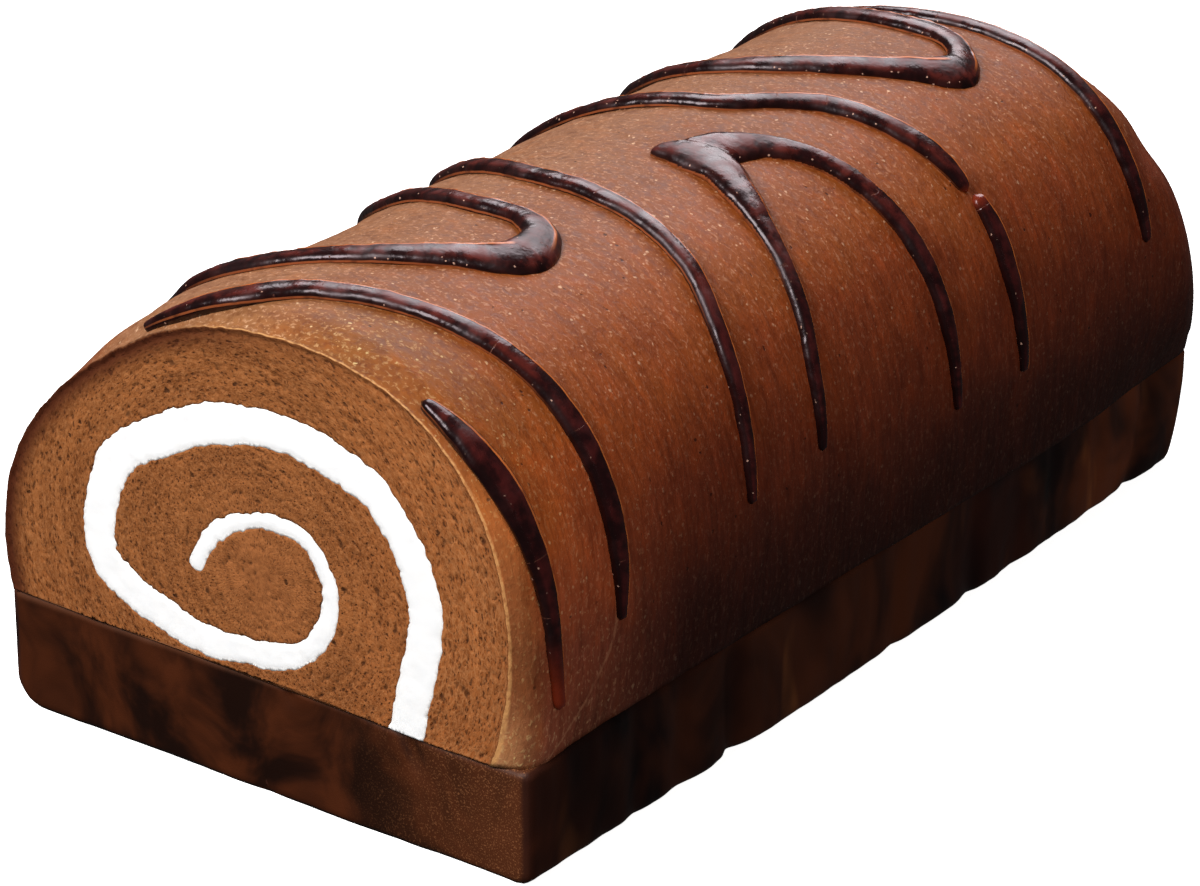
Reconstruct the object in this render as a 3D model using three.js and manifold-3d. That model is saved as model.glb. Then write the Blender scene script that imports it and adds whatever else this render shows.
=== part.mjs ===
// A chocolate swiss roll cake: sponge rolled round white cream, set on a thick base of dark chocolate,
// with chocolate drizzled to and fro over the top.
// Millimetres. X runs across the roll, Y along it and Z up. The front cut face looks along -Y, the origin
// is on the floor under the middle of the cake, and angles round the roll start at +X and rise over the top.
import * as THREE from "three";
import { mergeVertices } from "three/addons/utils/BufferGeometryUtils.js";
import Module from "manifold-3d";

const wasm = await Module();
wasm.setup();

// ---- Driving dimensions ----
// Places along the cake are distances back from the front face.
const frontY = -97.3;
const seamGap = 0.3; // left between neighbouring pieces

// Dark chocolate base
const baseLength = 193.4;
const baseHeight = 19.4;
const baseHalfWidth = 51.2; // at the front
const baseTaper = 0.02; // the half width lost for each millimetre towards the back
const baseBow = 1.3; // the half width gained at the middle of the length
const baseFrontCorner = 2.2;
const baseBackCorner = 3.5;
const footInset = { right: 0.8, left: 3.2, back: 5 }; // how far each side rounds in at the floor
const footHeight = { right: 2, left: 4.5, back: 17 };
// Upright creases in the long sides
const baseFolds = [
  { along: 27, depth: 0.6 },
  { along: 38, depth: 0.5 },
  { along: 52.5, depth: 1.3 },
  { along: 97, depth: 0.4 },
  { along: 121, depth: 0.8 },
  { along: 135, depth: 0.4 },
  { along: 146, depth: 0.4 },
  { along: 162, depth: 0.3 },
  { along: 178, depth: 1 },
];
const foldWidth = 2.6;
const baseSideSteps = 60;
const baseLevels = 7;
const baseBunching = 1.8; // above 1 it draws the levels towards the floor

// Rolled sponge: a round of mean radius rimRadius about rollCentre at the cut faces, which waves of 1, 2 and
// 5 to the turn sag towards one shoulder, and a skin that swells out beyond it
const rollCentre = new THREE.Vector2(-1.2, 38); // X, Z
const rimRadius = 46.5;
const rimWaves = [
  { perTurn: 1, cos: 0.7, sin: -7.1 },
  { perTurn: 2, cos: 2.1, sin: 3 },
  { perTurn: 5, cos: -0.5, sin: 0 },
];
const skinSwell = 2.6; // of the skin beyond the rims, on the right
const skinSwellLeft = 0.3;
const swellFade = [130, 170]; // the angles between which the one passes into the other
// The skin also flares out over the edge of the base on the right, and rounds in to the rims over lip
const flare = { angle: -24, depth: 3.6, across: 9, lip: 2.5, fade: [140, 195] };
const lipLength = 7; // over which the skin rounds in to a rim
const rollBottom = baseHeight + seamGap;
const rollSectionSteps = 72;
const rollLengthSteps = 20;
// The back is cut aslant, and upright near the top
const rollFootLength = 195.3;
const rollTopLength = 180;
const backSlope = 0.297;
// Shallow dents in the skin, and one low swelling: each is depth deep at its middle, and across wide round the
// roll and length long along it
const dents = [
  { angle: 135, along: 20, depth: -1.2, across: 14, length: 9 },
  { angle: 132, along: 49, depth: 1.3, across: 12, length: 11 },
  { angle: 132, along: 81, depth: 0.4, across: 8, length: 7 },
  { angle: 132, along: 122, depth: 0.5, across: 8, length: 7 },
  { angle: 132, along: 153, depth: 1.5, across: 12, length: 8 },
  { angle: 88, along: 183, depth: 4.2, across: 36, length: 14 },
  { angle: 24, along: 181, depth: 1.3, across: 5, length: 5 },
];

// Cream: a spiral about creamCentre, given by its radius at every creamTurnStep of a turn, from the middle out
const creamCentre = new THREE.Vector2(0.8, 36); // X, Z
const creamStartAngle = 190;
const creamTurnStep = -30;
const creamRadii = [
  13.1, 10.3, 8.9, 8.8, 10.3, 12.6, 13.7, 13.4, 13.1, 12.6, 14, 20, 31.3, 30.4, 25.1, 24, 25.8, 29.9, 31.7,
  31, 38,
];
const creamInnerThickness = 2.3;
const creamOuterThickness = 5.8;
const creamThickens = [0.12, 0.44]; // the share of its length over which it grows thick
const creamSteps = 90;
const creamBunching = 1.3; // above 1 it draws the steps towards the inner end

// Drizzle: each strand is a row of [distance from the front, angle round the roll, width]
const drizzleStrands = [
  [
    [2.2, 45, 3.4], [3, 36, 5.2], [4, 28, 5.5], [5.4, 17, 4.4], [6.4, 6, 3.2], [8, -13, 2],
  ],
  [
    [1.5, 122, 1.6], [3, 108, 4], [6, 96, 5], [10.5, 88, 4.5], [14, 77, 4], [17.5, 62, 3.8],
    [21.5, 42, 4], [23.2, 25, 4.2], [23.5, 10, 3.6], [23.2, -4, 1.5],
  ],
  [
    [24.5, 172, 1.6], [24.5, 150, 3.8], [22.5, 128, 4.5], [23, 108, 4.5], [27.5, 89, 4.5], [34, 75, 5.5],
    [41.5, 64, 8], [49.5, 67, 6.5], [53, 75, 4.5], [53.5, 88, 4], [56, 104, 4], [62.5, 130, 4],
    [73.5, 150, 4.2], [85, 166, 5], [91.5, 150, 4.2], [79, 130, 4], [72, 106, 4.2], [69, 92, 4.2],
    [68, 75, 4.2], [67, 62, 3.8], [64.5, 46, 3.6], [60.5, 33, 3.2], [57.7, 18, 2.6], [56.5, 3, 1.4],
  ],
  [
    [87.5, 77, 1.5], [89.5, 71, 7], [90, 63, 9], [87.2, 54.5, 7], [83.5, 43, 4], [79.7, 30, 3.2],
    [76.5, 17, 2.6], [75.5, 5, 1.4],
  ],
  [
    [89.5, 73, 4], [95, 67, 8], [102, 62.5, 5.5], [107, 54, 4.4], [110, 42, 4], [111.7, 28, 3.6],
    [112.3, 14, 3], [113, -2, 1.4],
  ],
  [
    [132.5, -2, 1.6], [131.5, 17, 3.4], [131.6, 25, 3.8], [131.2, 33, 2.6],
  ],
  [
    [130, 34, 2.6], [129.3, 42, 4.2], [126.5, 54, 4.4], [123, 65, 4.5], [117, 74, 4], [111.5, 82, 4],
    [109.3, 94, 4.2], [107.5, 108, 4], [107.5, 130, 4], [110.5, 150, 4.2], [124, 168, 5], [139.5, 150, 4.2],
    [132.5, 130, 4], [128, 106, 4.2], [130, 92, 4.8], [135, 79, 5], [142, 67.5, 5.5], [151.5, 57, 7.5],
    [157.5, 60.5, 5.5], [161.5, 68, 4.8], [161.8, 80, 4.6], [162.5, 96, 4.4], [164.5, 112, 4],
    [168.5, 130, 4], [173.5, 150, 3.4], [177, 166, 1.6],
  ],
  [
    [169, 110, 1.4], [170, 96, 2.2], [171, 84, 3.2], [172, 74, 3.6], [172.5, 60, 3.6], [172.5, 40, 3.6],
    [171.8, 22, 3], [171.8, 9, 1.6],
  ],
];
const drizzleHeight = 1.8; // of a strand drizzleWidth wide
const drizzleWidth = 4.2;
const drizzleStep = 5;
const drizzleDomeSteps = 5;
const drizzleRoot = { depth: 1.2, share: 2 / 3 }; // how deep a strand is set into the skin, and how wide there

// ---- Helpers ----
const radians = THREE.MathUtils.degToRad;
const { lerp, smoothstep } = THREE.MathUtils;

function solidOf(geometry) {
  const bare = geometry.clone();
  bare.deleteAttribute("normal");
  bare.deleteAttribute("uv");
  const merged = mergeVertices(bare, 1e-4);
  return new wasm.Manifold(
    new wasm.Mesh({
      numProp: 3,
      vertProperties: merged.attributes.position.array,
      triVerts: new Uint32Array(merged.index.array),
    }),
  );
}

function geometryOf(solid) {
  const { vertProperties, triVerts } = solid.getMesh();
  const geometry = new THREE.BufferGeometry();
  geometry.setAttribute("position", new THREE.BufferAttribute(vertProperties, 3));
  geometry.setIndex(new THREE.BufferAttribute(triVerts, 1));
  const flat = geometry.toNonIndexed();
  flat.computeVertexNormals();
  return flat;
}

// Moves every vertex to the place that move(point) returns.
function warp(geometry, move) {
  const positions = geometry.attributes.position;
  const point = new THREE.Vector3();
  for (let i = 0; i < positions.count; i++) {
    const { x, y, z } = move(point.fromBufferAttribute(positions, i));
    positions.setXYZ(i, x, y, z);
  }
  return geometry;
}

// A closed skin over a row of rings with equal numbers of points, with flat ends.
function loft(rings) {
  const size = rings[0].length;
  const positions = rings.flat().flatMap((point) => point.toArray());
  const faces = [];
  for (let ring = 0; ring + 1 < rings.length; ring++) {
    for (let i = 0; i < size; i++) {
      const a = ring * size + i;
      const b = ring * size + ((i + 1) % size);
      faces.push(a, b, b + size, a, b + size, a + size);
    }
  }
  const last = (rings.length - 1) * size;
  for (let i = 1; i + 1 < size; i++) faces.push(0, i + 1, i, last, last + i, last + i + 1);
  const geometry = new THREE.BufferGeometry();
  geometry.setAttribute("position", new THREE.Float32BufferAttribute(positions, 3));
  geometry.setIndex(faces);
  return geometry;
}

// ---- The form of the roll ----
function rimAt(angle) {
  return rimWaves.reduce(
    (radius, wave) =>
      radius + wave.cos * Math.cos(wave.perTurn * angle) + wave.sin * Math.sin(wave.perTurn * angle),
    rimRadius,
  );
}

function swellAt(angle) {
  return lerp(skinSwell, skinSwellLeft, smoothstep(angle, ...swellFade.map(radians)));
}

function flareAt(angle, y) {
  const across = ((angle - radians(flare.angle)) * rimRadius) / flare.across;
  const fade = 1 - smoothstep(y - frontY, ...flare.fade);
  return flare.depth * Math.exp(-across * across) * fade;
}

function backY(z) {
  return frontY + Math.max(rollTopLength, rollFootLength - backSlope * (z - rollBottom));
}

// How far the skin stands out from the plain rim: it rounds in to both rims and sinks at the dents.
function skinLift(angle, y, z) {
  const fromEnd = Math.max(0, Math.min(y - frontY, backY(z) - y));
  const roundIn = (length) => 1 - Math.max(0, 1 - fromEnd / length) ** 2;
  let lift = swellAt(angle) * roundIn(lipLength) + flareAt(angle, y) * roundIn(flare.lip);
  for (const dent of dents) {
    const across = ((angle - radians(dent.angle)) * rimRadius) / dent.across;
    const along = (y - frontY - dent.along) / dent.length;
    lift -= dent.depth * Math.exp(-across * across - along * along);
  }
  return lift;
}

function skinPoint(angle, y) {
  const rim = rimAt(angle);
  const z = rollCentre.y + rim * Math.sin(angle);
  const radius = rim + skinLift(angle, y, z);
  return new THREE.Vector3(
    rollCentre.x + radius * Math.cos(angle),
    y,
    rollCentre.y + radius * Math.sin(angle),
  );
}

// The angle, below the roll's middle on the given side, where its section meets the flat underside.
function bottomAngle(side) {
  let angle = side > 0 ? 0 : Math.PI;
  const stride = radians(0.05) * side;
  while (skinPoint(angle, 0).z > rollBottom) angle -= stride;
  return angle;
}

// Extrudes a section drawn in X and Z along the cake, from the front to the slanting back.
function extrudeAlong(section, steps) {
  const geometry = new THREE.ExtrudeGeometry(section, { depth: 1, steps, bevelEnabled: false });
  geometry.rotateX(Math.PI / 2);
  return warp(geometry, (point) => {
    const share = (1 - Math.cos(Math.PI * -point.y)) / 2; // closer rings near the ends
    return point.setY(lerp(backY(point.z), frontY, share));
  });
}

function rollBody() {
  const start = bottomAngle(1);
  const end = bottomAngle(-1);
  const section = new THREE.Shape();
  for (let i = 0; i <= rollSectionSteps; i++) {
    const { x, z } = skinPoint(lerp(start, end, i / rollSectionSteps), 0);
    const height = i % rollSectionSteps ? z : rollBottom;
    if (i) section.lineTo(x, height);
    else section.moveTo(x, height);
  }
  section.closePath();
  const body = extrudeAlong(section, rollLengthSteps);
  return warp(body, (point) => {
    const angle = Math.atan2(point.z - rollCentre.y, point.x - rollCentre.x);
    const round = angle < -Math.PI / 2 ? angle + 2 * Math.PI : angle;
    const underside = point.z < rollBottom + 0.01;
    const skin = skinPoint(round, point.y);
    return skin.setZ(underside ? rollBottom : Math.max(skin.z, rollBottom));
  });
}

// ---- Cream spiral ----
function creamPath() {
  const points = creamRadii.map((radius, i) => {
    const angle = radians(creamStartAngle + creamTurnStep * i);
    return new THREE.Vector2(
      creamCentre.x + radius * Math.cos(angle),
      creamCentre.y + radius * Math.sin(angle),
    );
  });
  return new THREE.SplineCurve(points);
}

// The share of the band's thickness that is left at a distance from its rounded inner tip.
function tipRound(distance) {
  const short = Math.max(0, 0.95 - distance / (creamInnerThickness / 2));
  return Math.sqrt(1 - short * short);
}

// The outline of the cream band, made wider on both sides by margin.
function creamSection(margin) {
  const path = creamPath();
  const length = path.getLength();
  const outer = [];
  const inner = [];
  for (let i = 0; i <= creamSteps; i++) {
    const share = (i / creamSteps) ** creamBunching;
    const growth = smoothstep(share, ...creamThickens);
    const thickness = lerp(creamInnerThickness, creamOuterThickness, growth) * tipRound(share * length);
    const half = thickness / 2 + margin;
    const middle = path.getPointAt(share);
    const tangent = path.getTangentAt(share);
    if (i === 0) middle.addScaledVector(tangent, -margin);
    const normal = new THREE.Vector2(-tangent.y, tangent.x);
    outer.push(middle.clone().addScaledVector(normal, half));
    inner.push(middle.clone().addScaledVector(normal, -half));
  }
  return new THREE.Shape([...inner, ...outer.reverse()]);
}

// Everything under the roll, as a solid to cut away.
function belowRoll() {
  const side = 2 * baseLength;
  const block = new THREE.BoxGeometry(side, side, side);
  return solidOf(block.translate(0, 0, rollBottom - side / 2));
}

function creamFilling() {
  const band = solidOf(extrudeAlong(creamSection(0), 1));
  return band.subtract(belowRoll());
}

// The slot for the cream, cut clean through both faces and the underside.
function creamSlot() {
  const overrun = 10;
  const slot = extrudeAlong(creamSection(seamGap), 1);
  return solidOf(warp(slot, (point) => point.setY(point.y + overrun * Math.sign(point.y))));
}

// ---- Drizzle ----
function drizzleStrand(stations) {
  const points = stations.map(
    ([along, angle, width]) => new THREE.Vector3(frontY + along, radians(angle) * rimRadius, width),
  );
  const path = new THREE.CatmullRomCurve3(points);
  const count = Math.round(path.getLength() / drizzleStep);
  const at = (share) => {
    const { x: y, y: arc, z: width } = path.getPointAt(share);
    return { y, angle: arc / rimRadius, width };
  };
  const rings = [];
  for (let i = 0; i <= count; i++) {
    const { y, angle, width } = at(i / count);
    const before = at(Math.max(0, (i - 0.5) / count));
    const after = at(Math.min(1, (i + 0.5) / count));
    const ahead = skinPoint(after.angle, after.y).sub(skinPoint(before.angle, before.y)).normalize();
    const out = new THREE.Vector3(Math.cos(angle), 0, Math.sin(angle));
    const side = new THREE.Vector3().crossVectors(out, ahead).normalize();
    const up = new THREE.Vector3().crossVectors(ahead, side);
    const middle = skinPoint(angle, y);
    const height = drizzleHeight * Math.sqrt(width / drizzleWidth);
    const ring = [];
    for (let step = 0; step <= drizzleDomeSteps; step++) {
      const turn = (Math.PI * step) / drizzleDomeSteps;
      ring.push(
        middle
          .clone()
          .addScaledVector(side, (-width / 2) * Math.cos(turn))
          .addScaledVector(up, height * Math.sin(turn)),
      );
    }
    const root = middle.clone().addScaledVector(up, -drizzleRoot.depth);
    for (const across of [width / 2, -width / 2]) {
      ring.push(root.clone().addScaledVector(side, across * drizzleRoot.share));
    }
    rings.push(ring.reverse());
  }
  return solidOf(loft(rings));
}

function spongeRoll() {
  const drizzled = drizzleStrands
    .map(drizzleStrand)
    .reduce((roll, strand) => roll.add(strand), solidOf(rollBody()));
  return drizzled.subtract(creamSlot()).subtract(belowRoll());
}

// ---- Chocolate base ----
function foldAt(along) {
  const depths = baseFolds.map((fold) => fold.depth * Math.exp(-(((along - fold.along) / foldWidth) ** 2)));
  return depths.reduce((total, depth) => total + depth);
}

// Half the base's width, round the corners at both ends.
function baseHalfAt(along, side) {
  const bow = baseBow * Math.sin((Math.PI * along) / baseLength);
  const fold = foldAt(side > 0 ? along : baseLength - along);
  const full = baseHalfWidth - baseTaper * along + bow - fold;
  const front = along < baseLength / 2;
  const corner = front ? baseFrontCorner : baseBackCorner;
  const short = Math.max(0, 1 - (front ? along : baseLength - along) / corner);
  return full - corner * (1 - Math.sqrt(1 - short * short));
}

function footAt(side, z) {
  return footInset[side] * Math.max(0, 1 - z / footHeight[side]) ** 2;
}

function chocolateBase() {
  const alongs = [];
  for (let i = 0; i <= baseSideSteps; i++) {
    const share = i / baseSideSteps;
    const eased = (1 - Math.cos(Math.PI * share)) / 2; // closer stations near the ends
    alongs.push(((share + eased) / 2) * baseLength);
  }
  const edgeOn = (side) =>
    alongs.map((along) => new THREE.Vector2(side * baseHalfAt(along, side), frontY + along));
  const plan = new THREE.Shape([...edgeOn(1), ...edgeOn(-1).reverse()]);
  const block = new THREE.ExtrudeGeometry(plan, { depth: 1, steps: baseLevels, bevelEnabled: false });
  return warp(block, (point) => {
    const z = baseHeight * point.z ** baseBunching;
    const right = point.x > 0;
    const x = right ? point.x - footAt("right", z) : point.x + footAt("left", z);
    const reach = smoothstep(point.y, 0, frontY + baseLength);
    return point.set(x, point.y - footAt("back", z) * reach, z);
  });
}

// ---- The cake ----
const sponge = new THREE.MeshStandardMaterial({ color: 0x7d4a2c, roughness: 0.75, metalness: 0 });
const cream = new THREE.MeshStandardMaterial({ color: 0xf7f5f1, roughness: 0.5, metalness: 0 });
const chocolate = new THREE.MeshStandardMaterial({ color: 0x2c140c, roughness: 0.4, metalness: 0 });

function named(name, geometry, material) {
  const mesh = new THREE.Mesh(geometry, material);
  mesh.name = name;
  return mesh;
}

const cake = new THREE.Group();
cake.add(named("sponge_roll", geometryOf(spongeRoll()), sponge));
cake.add(named("cream_filling", geometryOf(creamFilling()), cream));
cake.add(named("chocolate_base", geometryOf(solidOf(chocolateBase())), chocolate));

export default cake;
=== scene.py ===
"""The looks of the chocolate swiss roll cake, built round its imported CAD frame.

The forms are worked out from the same named sizes as the part's source, in millimetres, and put into the
scene in metres. Places "along" the cake are distances back from its front face, and angles round the roll
start at +X and rise over the top.
"""

import math

import bmesh
import bpy
import numpy as np
from mathutils import Matrix, Vector
from mathutils.geometry import delaunay_2d_cdt, tessellate_polygon
from mathutils.kdtree import KDTree


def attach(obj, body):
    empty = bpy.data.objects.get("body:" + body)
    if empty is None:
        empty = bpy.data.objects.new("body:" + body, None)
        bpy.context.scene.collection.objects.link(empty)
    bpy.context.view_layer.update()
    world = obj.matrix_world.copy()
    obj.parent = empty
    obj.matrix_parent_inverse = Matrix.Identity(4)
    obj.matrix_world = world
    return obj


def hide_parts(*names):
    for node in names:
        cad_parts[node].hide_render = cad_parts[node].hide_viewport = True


MM = 0.001
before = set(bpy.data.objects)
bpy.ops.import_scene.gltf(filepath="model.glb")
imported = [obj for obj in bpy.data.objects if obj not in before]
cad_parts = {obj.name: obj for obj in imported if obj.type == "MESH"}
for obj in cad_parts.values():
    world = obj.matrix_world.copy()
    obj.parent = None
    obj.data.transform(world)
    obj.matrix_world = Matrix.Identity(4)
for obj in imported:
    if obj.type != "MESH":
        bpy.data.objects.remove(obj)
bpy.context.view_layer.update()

# ---- Sizes shared with the part's source ----
FRONT_Y = -97.3
BASE_LENGTH, BASE_HEIGHT, BASE_HALF_WIDTH = 193.4, 19.4, 51.2
BASE_TAPER, BASE_BOW = 0.02, 1.3
BASE_CORNERS = (2.2, 3.5)  # front, back
FOOT_INSET = {"right": 0.8, "left": 3.2, "back": 5.0}
FOOT_HEIGHT = {"right": 2.0, "left": 4.5, "back": 17.0}
# Folds in the long side: along, depth
BASE_FOLDS = [
    (27, 0.6), (38, 0.5), (52.5, 1.3), (97, 0.4), (121, 0.8), (135, 0.4), (146, 0.4), (162, 0.3), (178, 1.0),
]
FOLD_WIDTH = 2.6
SAG_DEPTH, SAG_ACROSS, SAG_ALONG = 1.25, (-20, 50), 11  # the top edge sinks towards the near right corner

ROLL_CENTRE = (-1.2, 38.0)
RIM_RADIUS = 46.5
RIM_WAVES = [(1, 0.7, -7.1), (2, 2.1, 3.0), (5, -0.5, 0.0)]  # per turn, cosine, sine
SWELL_RIGHT, SWELL_LEFT, SWELL_FADE = 2.6, 0.3, (130, 170)
FLARE_ANGLE, FLARE_DEPTH, FLARE_ACROSS, FLARE_LIP, FLARE_FADE = -24, 3.6, 9.0, 2.5, (140, 195)
LIP_LENGTH = 7.0
# To close the seam between the nodes, the base's top edge is raised and the roll's foot stands below it
TOP_RAISE, ROLL_SINK = 0.12, 0.1
ROLL_BOTTOM = 19.7
ROLL_FOOT_LENGTH, ROLL_TOP_LENGTH, BACK_SLOPE = 195.3, 180.0, 0.297
# Shallow dents in the skin: angle, along, depth, across, length
DENTS = [
    (135, 20, -1.2, 14, 9), (132, 49, 1.3, 12, 11), (132, 81, 0.4, 8, 7), (132, 122, 0.5, 8, 7),
    (132, 153, 1.5, 12, 8), (88, 183, 4.2, 36, 14), (24, 181, 1.3, 5, 5),
]

CREAM_CENTRE = (0.8, 36.0)
CREAM_START, CREAM_STEP = 190, -30
CREAM_RADII = [
    13.1, 10.3, 8.9, 8.8, 10.3, 12.6, 13.7, 13.4, 13.1, 12.6, 14, 20, 31.3, 30.4, 25.1, 24, 25.8, 29.9,
    31.7, 31, 38,
]
CREAM_INNER, CREAM_OUTER, CREAM_THICKENS = 2.3, 5.8, (0.12, 0.44)

DRIZZLE_HEIGHT, DRIZZLE_WIDTH, DRIZZLE_ROOT = 1.8, 4.2, 1.2
DOME_LOWER = 0.28  # the domes are this much lower here, since waves and a raised edge stand above them
# Each strand is a row of along, angle, width
STRANDS = {
    "rim": [(2.0, 46.5, 1.8), (3, 36, 5.0), (4, 28, 5.5), (5.4, 17, 4.4), (6.4, 6, 3.2), (8, -13, 2)],
    "front": [
        (1.5, 122, 1.6), (3, 108, 4), (6, 96, 5), (10.5, 88, 4.5), (14, 77, 4), (17.5, 62, 3.8),
        (21.5, 42, 4), (23.2, 25, 4.2), (23.5, 10, 3.6), (23.2, -4, 1.5),
    ],
    "loop": [
        (24.5, 172, 1.6), (24.5, 150, 3.8), (22.5, 128, 4.5), (23, 108, 4.5), (27.5, 89, 4.5), (34, 75, 5.5),
        (41.5, 64, 8), (49.5, 67, 6.5), (53, 75, 4.5), (53.5, 88, 4), (56, 104, 4), (62.5, 130, 4),
        (73.5, 150, 4.2), (85, 166, 5), (91.5, 150, 4.2), (79, 130, 4), (72, 106, 4.2), (69, 92, 4.2),
        (68, 75, 4.2), (67, 62, 3.8), (64.5, 46, 3.6), (60.5, 33, 3.2), (57.7, 18, 2.6), (56.5, 3, 1.4),
    ],
    "fork_left": [
        (87.5, 77, 1.5), (89.5, 71, 7), (90, 63, 9), (87.2, 54.5, 7), (83.5, 43, 4), (79.7, 30, 3.2),
        (76.5, 17, 2.6), (75.5, 5, 1.4),
    ],
    "fork_right": [
        (89.5, 73, 4), (95, 67, 8), (102, 62.5, 5.5), (107, 54, 4.4), (110, 42, 4), (111.7, 28, 3.6),
        (112.3, 14, 3), (113, -2, 1.4),
    ],
    "tail": [(132.5, -2, 1.6), (131.5, 17, 3.4), (131.6, 25, 3.8), (131.2, 33, 2.6)],
    "sweep": [
        (130, 34, 2.6), (129.3, 42, 4.2), (126.5, 54, 4.4), (123, 65, 4.5), (117, 74, 4), (111.5, 82, 4),
        (109.3, 94, 4.2), (107.5, 108, 4), (107.5, 130, 4), (110.5, 150, 4.2), (124, 168, 5),
        (139.5, 150, 4.2), (132.5, 130, 4), (128, 106, 4.2), (130, 92, 4.8), (135, 79, 5), (142, 67.5, 5.5),
        (151.5, 57, 7.5), (157.5, 60.5, 5.5), (161.5, 68, 4.8), (161.8, 80, 4.6), (162.5, 96, 4.4),
        (164.5, 112, 4), (168.5, 130, 4), (173.5, 150, 3.4), (177, 166, 1.6),
    ],
    "last": [
        (169, 110, 1.4), (170, 96, 2.2), (171, 84, 3.2), (172, 74, 3.6), (172.5, 60, 3.6), (172.5, 40, 3.6),
        (171.8, 22, 3), (171.8, 9, 1.6),
    ],
}

# ---- How fine the meshes are ----
SKIN_COLUMNS, SKIN_ROWS, GATHERED = 270, 220, 0.45  # how far the rows gather near both ends
RIM_STEP, SLOT_STEP, CREAM_PATH_STEP, FOOT_STEP = 0.3, 0.25, 0.42, 0.7
STRAND_STEP, STRAND_AROUND, VOXEL, SMOOTHINGS = 0.6, 28, 0.3, 9
WALL_LEVELS, TOP_SPACING, UNDERSIDE_SPACING = 27, 1.6, 6.0
# Points within a face: how far apart their rows are, how far they stray and how far they keep off its edge,
# all as shares of their spacing
ROW_GAP, JITTER, KEEP_OFF = 0.87, 0.16, 0.6
SEED, DRIZZLE_SEED = 20, 100
# The cut faces: distance between points, number of pores, size of pores, seed, along
CUT_FACES = {"front": (0.36, 4200, 0.42, SEED, 0.0), "back": (0.62, 2600, 0.6, SEED + 1, BASE_LENGTH)}
SKIN, CRUMB, INSIDE = range(3)  # the materials of the sponge
TURN_RADIUS = 26  # the crumb's grain is laid round a circle of this size
CORE_REACH = 11  # nearer to the cream's centre, the pores are nearly round
CREAM_SPREAD = 0.24  # how much wider the cream is on each side than its solid's band, to close the seam
TOP_ROUND, FOOT_ROUND = (0.9, 0.8), (0.7, 0.6)  # how the base's long edges are rounded: radius, share
EDGE_PLACE, EDGE_WIDTH, EDGE_RISE = 0.55, 0.1, 0.15  # the raised thin edge on a strand's far side
# How far the ends that let light through reach, at a strand's start and end
THIN_ENDS = {"rim": (0, 12), "tail": (0, 3.0), "sweep": (1.2, 0)}


# ---- Numbers ----
def smoothstep(value, low, high):
    t = np.clip((value - low) / (high - low), 0, 1)
    return t * t * (3 - 2 * t)


def lattice(ix, iy, seed):
    """A fixed random number from -1 to 1 at each whole place."""
    h = (ix * 374761393 + iy * 668265263 + seed * 1442695041) & 0xFFFFFFFF
    h = ((h ^ (h >> 13)) * 1274126177) & 0xFFFFFFFF
    return ((h ^ (h >> 16)) & 0xFFFFFF) / 0x7FFFFF - 1


def noise(u, v, seed):
    """Smooth noise with cells one unit wide, from -1 to 1."""
    u, v = np.broadcast_arrays(np.asarray(u, float), np.asarray(v, float))
    iu, iv = np.floor(u).astype(np.int64), np.floor(v).astype(np.int64)
    fu, fv = u - iu, v - iv
    fu, fv = fu * fu * (3 - 2 * fu), fv * fv * (3 - 2 * fv)
    low = lattice(iu, iv, seed) * (1 - fu) + lattice(iu + 1, iv, seed) * fu
    high = lattice(iu, iv + 1, seed) * (1 - fu) + lattice(iu + 1, iv + 1, seed) * fu
    return low * (1 - fv) + high * fv


def layers(u, v, seed, count=3):
    """Noise with finer and weaker noise on top of it."""
    total = sum(noise(u * 2**i, v * 2**i, seed + i) / 2**i for i in range(count))
    return total / 1.5


def bell(value, width):
    """A bump that is 1 in its middle and fades within about its width."""
    return np.exp(-((value / width) ** 2))


def fullness(distance, radius, least=0.0):
    """How full a form with a round edge is at a distance from that edge, from 0 to 1."""
    return np.sqrt(np.maximum(least, 1 - np.maximum(0, 1 - distance / radius) ** 2))


def unit(vectors):
    return vectors / np.linalg.norm(vectors, axis=1)[:, None]


def travelled(line):
    """How far along a row of points each of them lies."""
    return np.concatenate([[0], np.cumsum(np.linalg.norm(np.diff(line, axis=0), axis=1))])


def curve(p1, p2, v1, v2, count):
    """Points from p1 up to p2, which is left out, of a cubic with the slopes v1 and v2 at its ends."""
    return [
        (2 * p1 - 2 * p2 + v1 + v2) * t**3 + (3 * p2 - 3 * p1 - 2 * v1 - v2) * t**2 + v1 * t + p1
        for t in np.linspace(0, 1, count, endpoint=False)
    ]


# ---- The form of the roll ----
def rim_at(angle):
    radius = RIM_RADIUS + 0 * angle
    for per_turn, cosine, sine in RIM_WAVES:
        radius = radius + cosine * np.cos(per_turn * angle) + sine * np.sin(per_turn * angle)
    return radius


def back_y(z):
    """Where the far face stands at a height: it leans towards the front."""
    leaning = ROLL_FOOT_LENGTH - BACK_SLOPE * np.maximum(0, z - ROLL_BOTTOM)
    return FRONT_Y + np.maximum(ROLL_TOP_LENGTH, leaning)


def skin_lift(angle, y, z):
    """How far the skin stands out from the plain rim: the swell behind the cut, the flare and the dents."""
    degrees, along = np.degrees(angle), y - FRONT_Y
    from_end = np.maximum(0, np.minimum(along, back_y(z) - y))

    def round_in(length):
        return 1 - np.maximum(0, 1 - from_end / length) ** 2

    swell = SWELL_RIGHT + (SWELL_LEFT - SWELL_RIGHT) * smoothstep(degrees, *SWELL_FADE)
    flare = FLARE_DEPTH * bell(np.radians(degrees - FLARE_ANGLE) * RIM_RADIUS, FLARE_ACROSS)
    flare = flare * (1 - smoothstep(along, *FLARE_FADE))
    lift = swell * round_in(LIP_LENGTH) + flare * round_in(FLARE_LIP)
    for at, where, depth, wide, long in DENTS:
        across = np.radians(degrees - at) * RIM_RADIUS
        lift = lift - depth * bell(across, wide) * bell(along - where, long)
    return lift


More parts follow.
